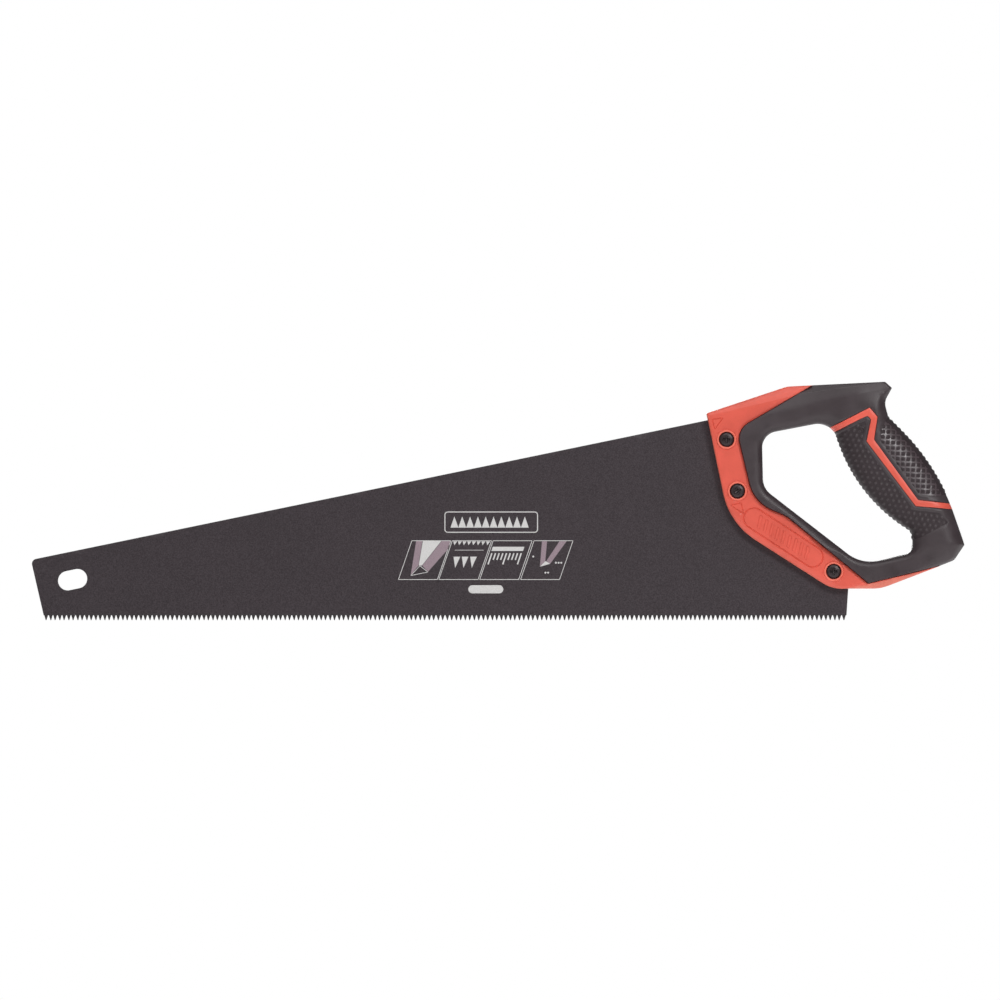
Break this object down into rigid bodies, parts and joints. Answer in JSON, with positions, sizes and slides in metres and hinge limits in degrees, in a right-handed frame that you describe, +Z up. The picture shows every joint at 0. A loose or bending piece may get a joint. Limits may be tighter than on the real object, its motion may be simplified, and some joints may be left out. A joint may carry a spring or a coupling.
{
  "type": "hand saw",
  "caption": "Hardpoint wood saw with a dark coated tapered blade and a closed two-material handle with a soft grip.",
  "frame": {"origin": "centre of the hand grip on the mid-plane of the blade", "axes": "+X from the blade towards the heel of the handle, parallel to the tooth line; +Z up, from the teeth towards the blade's back; +Y across the thickness, away from the face with the screw heads"},
  "size_m": [0.5839, 0.029, 0.1493],
  "materials": {
    "blade_steel": "dark grey low-friction coating on steel, fine satin speckle",
    "red_plastic": "moulded red polypropylene, fine satin",
    "soft_black": "matt black soft overmould with moulded grip texture",
    "screw_black": "black oxide, semi-gloss"
  },
  "bodies": {
    "root": {"saw_blade": "blade_steel", "handle_core": "red_plastic", "soft_grip": "soft_black", "handle_screw_top": "screw_black", "sleeve_nut_top": "screw_black", "handle_screw_middle": "screw_black", "sleeve_nut_middle": "screw_black", "handle_screw_bottom": "screw_black", "sleeve_nut_bottom": "screw_black"}
  },
  "joints": []
}
